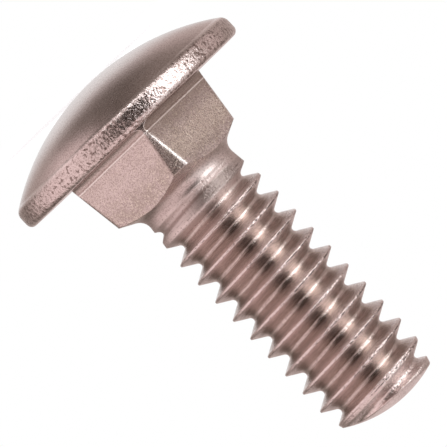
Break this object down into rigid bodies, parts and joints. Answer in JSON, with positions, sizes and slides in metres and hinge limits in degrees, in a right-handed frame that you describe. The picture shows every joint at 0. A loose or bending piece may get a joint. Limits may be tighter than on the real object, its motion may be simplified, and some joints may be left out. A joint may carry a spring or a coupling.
{
  "type": "carriage bolt",
  "caption": "Carriage bolt with a smooth domed round head, a square neck that locks it in its hole, and a coarse thread up to the neck.",
  "frame": {"origin": "centre of the bearing face under the head, where the bolt's axis crosses it", "axes": "+Z along the shank from the head to the tip, so the bolt stands upright on its domed head; +X and +Y are square to the flats of the neck"},
  "size_m": [0.0144, 0.0144, 0.0224],
  "materials": {
    "stainless_steel": "bare cold-forged stainless steel with a warm tint: smooth satin dome, pebbled rim, grainy neck flats and burnished rolled thread"
  },
  "bodies": {
    "root": {"carriage_bolt": "stainless_steel"}
  },
  "joints": []
}
